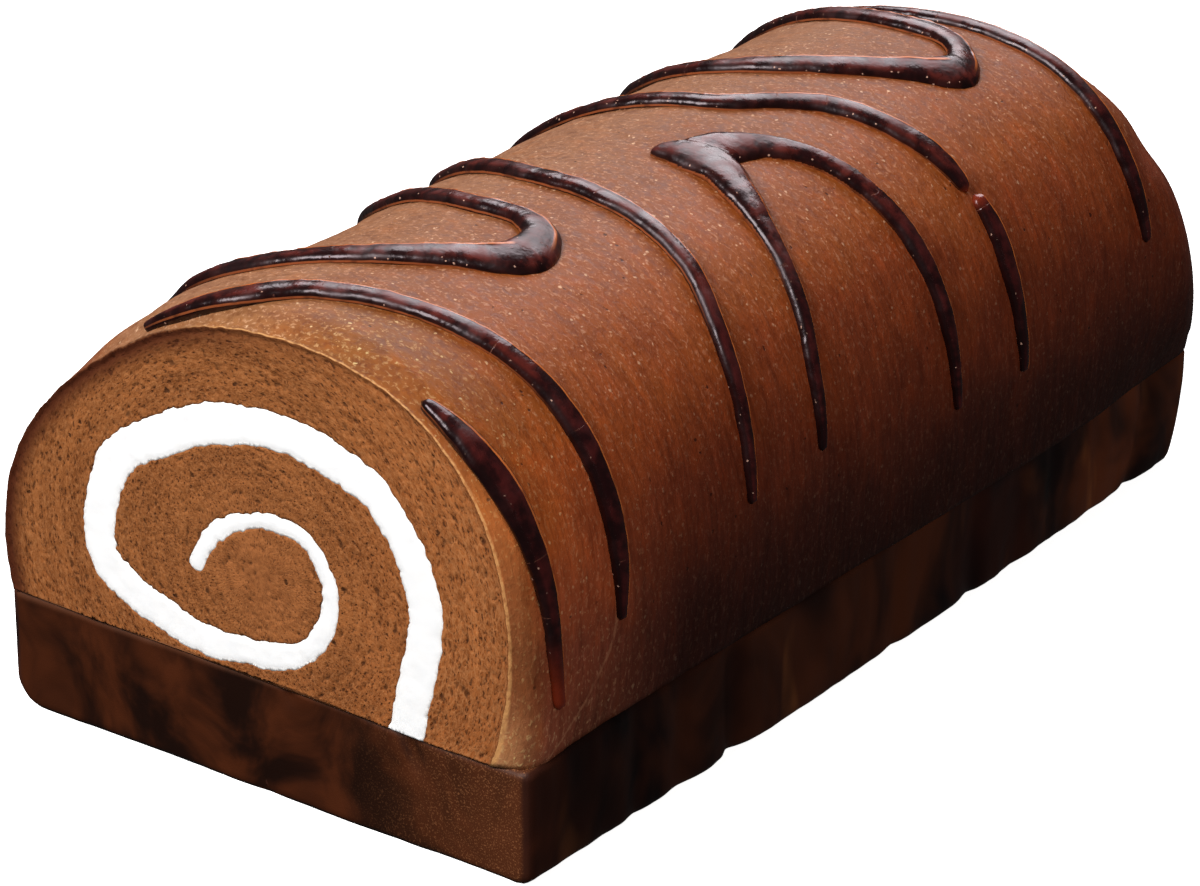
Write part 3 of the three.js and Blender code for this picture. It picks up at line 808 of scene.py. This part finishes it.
class Nodes:
    """A material's nodes. Its colour is laid down coat by coat, each by its shares from 0 to 1."""

    def __init__(self, name):
        self.material = bpy.data.materials.new(name)
        self.material.use_nodes = True
        self.tree = self.material.node_tree
        self.shader = self.tree.nodes["Principled BSDF"]
        self.colour = None

    def node(self, kind, inputs=(), **settings):
        made = self.tree.nodes.new("ShaderNode" + kind)
        for key, value in settings.items():
            setattr(made, key, value)
        for key, value in dict(inputs).items():
            self.put(made.inputs[key], value)
        return made

    def put(self, socket, value):
        if isinstance(value, bpy.types.NodeSocket):
            self.tree.links.new(value, socket)
        else:
            socket.default_value = value

    def set(self, **inputs):
        """Sets inputs of the shader. Constants stand on its sockets."""
        for key, value in inputs.items():
            self.put(self.shader.inputs[key.replace("_", " ")], value)

    def attribute(self, name, output="Vector"):
        return self.node("Attribute", attribute_name=name).outputs[output]

    def place(self):
        """The place on the cake, in metres."""
        return self.node("TexCoord").outputs["Object"]

    def parts(self, vector):
        return self.node("SeparateXYZ", {"Vector": vector}).outputs

    def scaled(self, vector, x, y, z=1.0, shift=(0, 0, 0), turn=0.0):
        inputs = {"Vector": vector, "Scale": (x, y, z), "Location": shift, "Rotation": (0, 0, turn)}
        return self.node("Mapping", inputs).outputs[0]

    def enlarged(self, vector, scale, shift=(0, 0, 0)):
        return self.scaled(vector, scale, scale, scale, shift)

    def noise(self, vector, detail=3.0, roughness=0.5, distortion=0.0, output="Fac"):
        inputs = {"Vector": vector, "Scale": 1.0, "Detail": detail, "Roughness": roughness}
        return self.node("TexNoise", {**inputs, "Distortion": distortion}).outputs[output]

    def cell_edges(self, vector):
        """The distance to the nearest edge between Voronoi cells."""
        inputs = {"Vector": vector, "Scale": 1.0}
        return self.node("TexVoronoi", inputs, feature="DISTANCE_TO_EDGE").outputs["Distance"]

    def math(self, operation, a, b=0.0):
        return self.node("Math", {0: a, 1: b}, operation=operation).outputs[0]

    def vector_math(self, operation, a, b):
        return self.node("VectorMath", {0: a, 1: b}, operation=operation).outputs[0]

    def times(self, first, *others):
        for other in others:
            first = self.math("MULTIPLY", first, other)
        return first

    def off(self, value, middle):
        """How far a value is from a middle one."""
        return self.math("ABSOLUTE", self.math("SUBTRACT", value, middle))

    def ease(self, value, low, high, out_low=0.0, out_high=1.0):
        """Goes smoothly from out_low where the value is low to out_high where it is high."""
        inputs = {"Value": value, "From Min": low, "From Max": high, "To Min": out_low, "To Max": out_high}
        return self.node("MapRange", inputs, interpolation_type="SMOOTHSTEP").outputs[0]

    def mix(self, share, a, b, blend="MIX"):
        """Blends colours. One of three numbers is an sRGB colour from 0 to 255."""
        a, b = (linear(*c) if isinstance(c, tuple) and len(c) == 3 else c for c in (a, b))
        inputs = {0: share, 6: a, 7: b}
        return self.node("Mix", inputs, data_type="RGBA", blend_type=blend).outputs[2]

    def paint(self, colour, *shares):
        """Covers with a colour, by the product of the shares."""
        self.colour = self.mix(self.times(*shares), self.colour, colour)

    def tint(self, red, green, blue, *shares):
        """Multiplies the colour's parts, by the product of the shares."""
        self.colour = self.mix(self.times(*shares), self.colour, (red, green, blue, 1), "MULTIPLY")

    def ramp(self, value, stops):
        made = self.node("ValToRGB", {"Fac": value})
        points = made.color_ramp.elements
        while len(points) < len(stops):
            points.new(0.5)
        for point, (place, colour) in zip(points, stops):
            point.position, point.color = place, linear(*colour)
        return made.outputs[0]

    def spots(self, vector, scale, edge, core, rarity, shift):
        """Small uneven spots in some of the cells of a Voronoi pattern, from 0 to 1."""
        finer = self.noise(self.enlarged(vector, 2.2 * scale), detail=2, output="Color")
        bend = self.vector_math("MULTIPLY", finer, (0.5, 0.5, 0.5))
        placed = self.vector_math("ADD", self.enlarged(vector, scale, shift), bend)
        cell = self.node("TexVoronoi", {"Vector": placed, "Scale": 1.0}).outputs
        chosen = self.ease(self.parts(cell["Color"])[0], rarity, rarity + 0.04)
        return self.times(self.ease(cell["Distance"], edge, core), chosen)

    def bump(self, height, strength, distance):
        inputs = {"Height": height, "Strength": strength, "Distance": distance}
        self.set(Normal=self.node("Bump", inputs).outputs[0])


def bake_and_painted_shade(n, place, arc):
    """The bake round the roll: pinkish brown over the top, orange brown on the shoulder, and very dark low on
    the side, which is painted shade.
    """
    wander = n.noise(n.scaled(place, 0.07, 0.07), detail=2)
    level = n.math("ADD", arc, n.ease(wander, 0.3, 0.7, -4, 4))
    return n.ramp(n.math("DIVIDE", n.math("ADD", level, 25.0), 150.0), [
        (0.0, (54, 27, 20)), (0.12, (82, 36, 25)), (0.22, (108, 46, 25)), (0.3, (128, 57, 25)),
        (0.38, (136, 68, 26)), (0.46, (132, 67, 23)), (0.56, (123, 66, 27)), (0.68, (136, 88, 55)),
        (0.85, (141, 96, 66)), (0.94, (126, 72, 42)), (1.0, (102, 52, 28)),
    ])


def skin_material():
    n = Nodes("sponge_skin")
    place = n.attribute("skin")
    arc, along, _ = n.parts(place)
    height = n.math("MINIMUM", arc, n.math("SUBTRACT", math.pi * RIM_RADIUS, arc))
    n.colour = bake_and_painted_shade(n, place, arc)
    # Clouds of orange and deeper brown, drawn out round the roll
    cloud = n.noise(n.scaled(place, 0.16, 0.3, turn=0.1), roughness=0.6)
    n.tint(1.25, 1.08, 0.8, n.ease(cloud, 0.5, 0.7, 0, 0.6))
    n.tint(0.78, 0.72, 0.68, n.ease(cloud, 0.5, 0.32, 0, 0.6))
    # Darker dapples and pale pinkish flecks among them, and faint streaks on the low side
    mottle = n.noise(n.scaled(place, 0.5, 0.72, turn=0.25), detail=4, roughness=0.64, distortion=0.5)
    n.tint(0.6, 0.47, 0.36, n.ease(mottle, 0.51, 0.36), n.ease(height, 10, 50, 0.25, 0.65))
    fleck = n.noise(n.scaled(place, 1.1, 1.5, shift=(5, 2, 0), turn=0.35), roughness=0.6, distortion=0.6)
    high = n.times(n.ease(height, 5, 60, 0.1, 0.52), n.ease(mottle, 0.4, 0.6, 0.4, 1))
    n.paint((206, 156, 124), n.ease(fleck, 0.52, 0.68), high)
    streak = n.noise(n.scaled(place, 0.13, 0.85, turn=0.2), detail=4, roughness=0.6, distortion=0.9)
    streaky = n.ease(height, 55, 12, 0.1, 0.7)
    n.tint(0.74, 0.68, 0.66, n.ease(streak, 0.5, 0.36), streaky)
    n.tint(1.3, 1.32, 1.4, n.ease(streak, 0.52, 0.66), streaky)
    # Pale specks and dark pits
    speck = n.spots(place, 0.7, 0.22, 0.1, 0.74, (0, 0, 0))
    n.paint((236, 196, 160), speck, n.ease(height, 0, 60, 0.08, 0.6))
    dust = n.spots(place, 1.25, 0.24, 0.1, 0.72, (7, 1, 0))
    n.paint((212, 158, 118), dust, n.ease(height, 0, 40, 0.1, 0.45))
    pit = n.spots(place, 0.36, 0.12, 0.06, 0.6, (3, 9, 0))
    n.paint((50, 18, 10), pit, 0.85)
    # Paler just behind the front, golden on the shoulder, and most of all low on the right near the front,
    # which is painted light, with a pale band
    fresh = n.times(n.ease(arc, 96, 60, 0.15, 0.8), n.ease(arc, 20, 52, 0.2, 1))
    n.tint(1.22, 1.4, 1.25, n.ease(along, 20, 2), fresh, n.ease(cloud, 0.3, 0.6, 0.4, 0.8))
    n.tint(0.88, 0.96, 0.74, n.ease(along, 24, 10), n.ease(arc, 70, 50), n.ease(arc, 0, 26))
    n.tint(0.86, 1.0, 0.78, n.ease(along, 9, 4), n.ease(arc, 28, 8))
    # Painted light: much paler low on the right near the front
    n.tint(2.9, 3.3, 3.0, n.ease(arc, 34, 4), n.ease(along, 44, 8))
    band_end = n.ease(cloud, 0.3, 0.7, 5.0, 8.0)
    n.paint((176, 116, 72), n.ease(arc, 38, 10, 0, 0.26), n.ease(along, band_end, 2.0))
    # Painted shade: nearly black along the middle of the low side, just above the base
    n.tint(0.25, 0.28, 0.36, n.ease(arc, 10, -15), n.ease(along, 18, 46), 0.85)
    # A thin pale crease that runs down from the front strand and round towards the rim
    below = n.math("MAXIMUM", n.math("SUBTRACT", -2.0, arc), 0.0)
    bend = n.times(n.math("POWER", below, 2.0), 0.07)
    crease = n.ease(n.off(n.math("ADD", along, bend), 23.8), 0.6, 0.1)
    n.paint((164, 110, 82), crease, n.ease(arc, 7, 2), n.ease(mottle, 0.35, 0.55, 0.3, 1), 0.55)
    # Painted light: paler again at the near foot
    n.tint(1.9, 2.4, 2.6, n.ease(arc, -7, -19), n.ease(along, 16, 3), 0.75)
    # The very edge of the cut is pale and crumbly low on the right, and dark on the left
    crumbs = n.ease(n.noise(n.scaled(place, 0.9, 0.9), detail=2), 0.36, 0.56, 0.3, 0.85)
    reach = n.ease(arc, 40, -12, 0.4, 1.1)
    edge = n.mix(n.ease(arc, 74, 96), (204, 148, 92), (62, 28, 16))
    n.paint(edge, n.ease(n.math("DIVIDE", along, reach), 1.0, 0.5), crumbs)
    n.set(Base_Color=n.colour, Roughness=n.ease(mottle, 0.35, 0.65, 0.5, 0.62), Specular_IOR_Level=0.22)
    relief = mottle
    for layer, share in ((fleck, 0.7), (streak, 0.2), (speck, 0.25), (pit, -0.6)):
        relief = n.math("ADD", relief, n.times(layer, share))
    n.bump(relief, 0.3, 0.0005)
    return n.material


def crumb_material():
    n = Nodes("sponge_crumb")
    place, turn = n.attribute("face"), n.attribute("turn")
    pore, rim = n.attribute("pore", "Fac"), n.attribute("rim", "Fac")
    side, _, height = n.parts(place)
    # Faint rings that follow the turns, on a broad change of tone
    rings = n.noise(n.scaled(turn, 0.06, 0.06, 0.75), detail=2)
    n.colour = n.mix(n.ease(rings, 0.32, 0.68), (124, 70, 32), (150, 89, 45))
    broad = n.noise(n.enlarged(place, 0.1), detail=2)
    n.tint(1.14, 1.14, 1.16, n.ease(broad, 0.42, 0.66, 0, 0.4))
    n.tint(1.22, 1.24, 1.36, n.ease(n.parts(turn)[2], 16, 3))
    n.tint(0.9, 0.84, 0.76, n.ease(height, 33, 20, 0, 0.6))
    n.tint(1.2, 1.14, 1.08, n.ease(side, 10, 36))
    # Torn crumb: pale threads, and fine pores drawn out along the turns
    threads = n.noise(n.scaled(turn, 1.3, 1.3, 1.9), roughness=0.68)
    n.paint((184, 124, 76), n.ease(threads, 0.52, 0.68, 0, 0.42))
    n.paint((90, 49, 23), n.ease(threads, 0.47, 0.33, 0, 0.6))
    curl = n.noise(n.scaled(turn, 0.8, 0.8, 1.2), roughness=0.6, distortion=1.2)
    n.paint((178, 118, 74), n.ease(n.off(curl, 0.5), 0.03, 0.008, 0, 0.45))
    web = n.cell_edges(n.scaled(turn, 1.1, 1.1, 1.9))
    small = n.times(n.ease(web, 0.14, 0.32), n.ease(threads, 0.52, 0.4))
    n.paint((66, 34, 16), small, 0.75)
    n.paint((182, 122, 76), n.ease(web, 0.08, 0.0, 0, 0.22))
    # A coarser web of holes on the right, outside the cream
    holes = n.cell_edges(n.scaled(turn, 0.75, 0.75, 1.15))
    right = n.times(n.ease(side, 24, 34), n.ease(broad, 0.4, 0.55, 0.25, 1))
    n.paint((76, 40, 18), n.ease(holes, 0.3, 0.46, 0, 0.7), right)
    n.paint((186, 124, 76), n.ease(holes, 0.1, 0.02, 0, 0.4), right)
    # Painted shade: the pores darken with their depth
    n.paint((62, 33, 15), n.ease(pore, 0.3, 0.8, 0, 0.7))
    bubble = n.spots(place, 0.45, 0.24, 0.12, 0.86, (2, 5, 1))
    n.paint((52, 27, 12), bubble, 0.8)
    # The rim browns towards the skin on the left, and more faintly elsewhere
    n.paint((76, 33, 14), n.ease(rim, 4.8, 0.4), n.ease(side, 16, -18, 0.14, 1))
    n.set(Base_Color=n.colour, Roughness=0.85, Specular_IOR_Level=0.15)
    n.bump(n.math("SUBTRACT", threads, n.math("ADD", small, bubble)), 0.45, 0.0004)
    return n.material


def cream_material():
    n = Nodes("whipped_cream")
    soft = n.noise(n.enlarged(n.place(), 300))
    n.colour = n.mix(n.ease(soft, 0.3, 0.7), (253, 253, 255), (249, 250, 253))
    # Painted shade: greyer towards the edges of the cut cream
    n.paint((236, 230, 222), n.ease(n.attribute("edge", "Fac"), 0.8, 0.1, 0, 0.35))
    n.set(Base_Color=n.colour, Roughness=0.55, Specular_IOR_Level=0.3)
    # Painted light: the cream glows faintly by itself
    n.set(Emission_Color=(1, 1, 1, 1), Emission_Strength=0.09)
    n.set(Subsurface_Weight=0.15, Subsurface_Scale=0.002, Subsurface_Radius=(1.0, 0.95, 0.9))
    n.bump(soft, 0.2, 0.0004)
    return n.material


def cracks(n, mottle):
    """A few fine cracks across a strand, from 0 to 1."""
    run = n.times(n.attribute("run", "Fac"), 0.11)
    cell = n.node("TexVoronoi", {"W": run, "Scale": 1.0}, voronoi_dimensions="1D").outputs
    bent = n.math("ADD", cell["Distance"], n.ease(mottle, 0.3, 0.7, -0.03, 0.03))
    kept = n.ease(n.parts(cell["Color"])[0], 0.62, 0.66)
    return n.times(n.ease(bent, 0.022, 0.006), kept, n.ease(mottle, 0.46, 0.6))


def drizzle_material():
    n = Nodes("dark_drizzle")
    across, raised, thin = n.parts(n.attribute("strand"))
    place = n.place()
    mottle = n.noise(n.enlarged(place, 300), roughness=0.6)
    top = n.ease(n.parts(place)[2], 0.064, 0.076)
    lighter = n.mix(top, (64, 20, 19), (84, 31, 25))
    n.colour = n.mix(n.ease(mottle, 0.36, 0.66), (30, 8, 9), lighter)
    # Painted shade: the near wall of each strand is darkened nearly to black
    n.paint((16, 5, 5), n.ease(across, -0.45, -0.85, 0, 0.8))
    # The thin edge on the far side is paler, partly its own colour and partly painted rim light, and some of
    # the ends let the light through
    broken = n.ease(n.noise(n.enlarged(place, 420), detail=2), 0.3, 0.5, 0.45, 0.95)
    n.paint((190, 104, 50), n.ease(across, 0.42, 0.48), n.ease(across, 0.66, 0.58), raised, broken)
    # Painted reflection: a thin amber line at the foot of the near wall, on the top of the roll
    n.paint((170, 92, 52), n.ease(across, -0.986, -0.997), top, broken, 0.7)
    n.paint((138, 48, 22), n.ease(thin, 0.0, 1.0, 0, 0.6))
    crack = cracks(n, mottle)  # pale
    n.paint((170, 110, 88), crack, n.ease(top, 0, 1, 0.3, 0.6))
    # Small pale specks along the near edge, and patches of duller gloss
    speck = n.spots(n.enlarged(place, 1000), 1.1, 0.22, 0.1, 0.74, (1, 2, 3))
    n.paint((214, 170, 150), speck, n.ease(across, -0.5, -0.75), n.ease(across, -1.0, -0.94, 0, 0.75))
    patch = n.noise(n.enlarged(place, 150), detail=2)
    n.set(Base_Color=n.colour, Roughness=n.ease(patch, 0.42, 0.62, 0.23, 0.42))
    n.set(Specular_IOR_Level=0.38, Specular_Tint=(1.0, 0.86, 0.92, 1))
    n.bump(n.math("SUBTRACT", mottle, crack), 0.35, 0.0006)
    return n.material


def chocolate_sides(n, place, y):
    """The base's long sides: dark and brown bands with gold veins, which are painted highlights where light
    catches the folds, lighter and darker along the length as in the photo.
    """
    bands = n.noise(n.scaled(place, 40, 46, 36), distortion=0.6)
    n.colour = n.mix(n.ease(bands, 0.36, 0.66), (18, 9, 9), (70, 34, 19))
    # Painted highlights: gold veins where light catches the drapes
    gold_vein_highlights = n.noise(n.scaled(place, 80, 120, 42), detail=2, distortion=0.4)
    n.paint((132, 80, 42), n.ease(gold_vein_highlights, 0.56, 0.72), n.ease(bands, 0.45, 0.62, 0.05, 0.4))
    n.tint(0.4, 0.42, 0.54, n.ease(y, -0.03, -0.08))
    n.tint(3.4, 3.0, 2.3, n.ease(y, -0.084, -0.095))
    n.tint(0.5, 0.45, 0.6, n.ease(n.off(y, 0.03), 0.02, 0.008))
    n.tint(1.7, 1.6, 1.4, n.ease(y, 0.045, 0.07))
    return n.colour


def chocolate_material():
    n = Nodes("dark_chocolate")
    place = n.place()
    x, y, z = n.parts(place)
    facing = n.parts(n.node("NewGeometry").outputs["Normal"])[0]
    sideways = n.ease(n.math("ABSOLUTE", facing), 0.15, 0.5)
    sides = chocolate_sides(n, place, y)
    # The front and the rest: broad marbling, with a paler grain towards the near corner
    broad = n.noise(n.scaled(place, 62, 62, 44), detail=4, roughness=0.55, distortion=0.7)
    n.colour = n.mix(n.ease(broad, 0.38, 0.66), (26, 10, 5), (72, 32, 12))
    grain = n.noise(n.enlarged(place, 3600), detail=1)
    corner = n.ease(x, 0.012, 0.05)
    n.paint((92, 50, 28), corner, 0.4)
    n.paint((160, 104, 66), corner, n.ease(grain, 0.52, 0.74, 0, 0.5))
    n.paint(sides, sideways)
    # Painted highlight: a paler line along the top edge of the front
    n.paint((96, 58, 38), n.ease(z, 0.0178, 0.0192), n.math("SUBTRACT", 1.0, sideways), 0.5)
    n.set(Base_Color=n.colour, Roughness=n.ease(broad, 0.3, 0.7, 0.42, 0.56), Specular_IOR_Level=0.16)
    n.bump(n.math("ADD", broad, n.times(grain, 0.08)), 0.35, 0.0008)
    return n.material


def inner_material():
    """Walls of the slot and the underside, which nothing shows."""
    n = Nodes("sponge_inside")
    fine = n.noise(n.enlarged(n.place(), 700), detail=4)
    n.set(Base_Color=n.mix(fine, (122, 70, 34), (156, 96, 54)), Roughness=0.85)
    n.bump(fine, 0.5, 0.0004)
    return n.material


# ---- The cake ----
materials = {
    "sponge": [skin_material(), crumb_material(), inner_material()],
    "cream": cream_material(),
    "drizzle": drizzle_material(),
    "chocolate": chocolate_material(),
}
sponge, cream = build_roll(materials)
base = build_base(materials["chocolate"])
drizzles = build_drizzle(materials["drizzle"])
for piece in (sponge, cream, base, *drizzles):
    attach(piece, "root")
for piece in (sponge, *drizzles):
    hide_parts("sponge_roll")
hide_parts("cream_filling")
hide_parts("chocolate_base")


# ---- Floor, light and camera ----
FLOOR_REACH, FLOOR_Z = 4000, -0.05  # in millimetres
AZIMUTH, ELEVATION = 36.8, 24.1  # where the camera stands, in degrees
# How far back, right and up the camera is from the middle, and a last shift in X, Y and Z, in millimetres
CAMERA_BACK, CAMERA_RIGHT, CAMERA_UP, CAMERA_SHIFT = 824, -5.0, 21.8, (-0.2, -3.3, 0)
LOOKED_AT = (0, 0, 0.035)  # where the lights look, in metres


def floor_material():
    n = Nodes("pale_floor")
    cloud = n.noise(n.enlarged(n.place(), 3), detail=2)
    n.set(Base_Color=n.mix(cloud, (0.9, 0.9, 0.9, 1), (0.93, 0.93, 0.93, 1)), Roughness=0.9)
    n.set(Specular_IOR_Level=0.0, Emission_Color=(1, 1, 1, 1), Emission_Strength=0.9)
    return n.material


corners = [(x * FLOOR_REACH, y * FLOOR_REACH, FLOOR_Z) for x, y in ((-1, -1), (1, -1), (1, 1), (-1, 1))]
floor = mesh_object("pale_floor", corners, [(0, 1, 2, 3)], [floor_material()], smooth=False)
floor.visible_diffuse = False
floor.visible_glossy = False


def away(azimuth, elevation):
    """The direction away from the cake. Azimuth 0 is in front and 90 is on the +X side."""
    a, e = math.radians(azimuth), math.radians(elevation)
    return Vector((math.sin(a) * math.cos(e), -math.cos(a) * math.cos(e), math.sin(e)))


backward, right = away(AZIMUTH, ELEVATION), away(AZIMUTH + 90, 0)
upward = backward.cross(right)
camera = bpy.data.objects.new("camera", bpy.data.cameras.new("camera"))
camera.data.lens, camera.data.sensor_width = 150, 36
camera.data.clip_start, camera.data.clip_end = 0.05, 50
turn = Matrix((right, upward, backward)).transposed().to_4x4()
place = backward * CAMERA_BACK + right * CAMERA_RIGHT + upward * CAMERA_UP + Vector(CAMERA_SHIFT)
camera.matrix_world = Matrix.Translation(place * MM) @ turn
bpy.context.scene.collection.objects.link(camera)
bpy.context.scene.camera = camera


def area_light(name, azimuth, elevation, distance, size, power, colour=(1, 1, 1)):
    """A soft light that looks at the middle of the cake."""
    back = away(azimuth, elevation)
    data = bpy.data.lights.new(name, "AREA")
    data.shape, data.size, data.energy, data.color = "DISK", size, power, colour
    light = bpy.data.objects.new(name, data)
    light.location = Vector(LOOKED_AT) + back * distance
    light.rotation_mode = "QUATERNION"
    light.rotation_quaternion = back.to_track_quat("Z", "Y")
    bpy.context.scene.collection.objects.link(light)
    return light


area_light("key", -14, 47, 1.2, 0.7, 20.0, (1.0, 0.99, 0.97))
area_light("back", 205, 42, 1.5, 1.1, 17.0, (1.0, 0.95, 0.98))
side = area_light("side", 75, 15, 1.4, 0.7, 5.8, (1.0, 0.94, 0.86))
side.visible_glossy = False

# The camera sees a white studio, and only a little light comes from it
world = bpy.data.worlds.new("white_studio")
world.use_nodes = True
background = world.node_tree.nodes["Background"]
paths = world.node_tree.nodes.new("ShaderNodeLightPath")
seen = world.node_tree.nodes.new("ShaderNodeMapRange")
seen.inputs["To Min"].default_value, seen.inputs["To Max"].default_value = 0.05, 1.05
world.node_tree.links.new(paths.outputs["Is Camera Ray"], seen.inputs["Value"])
world.node_tree.links.new(seen.outputs[0], background.inputs["Strength"])
background.inputs["Color"].default_value = (1, 1, 1, 1)
bpy.context.scene.world = world
bpy.context.scene.view_settings.view_transform = "Standard"
bpy.context.scene.view_settings.look = "None"
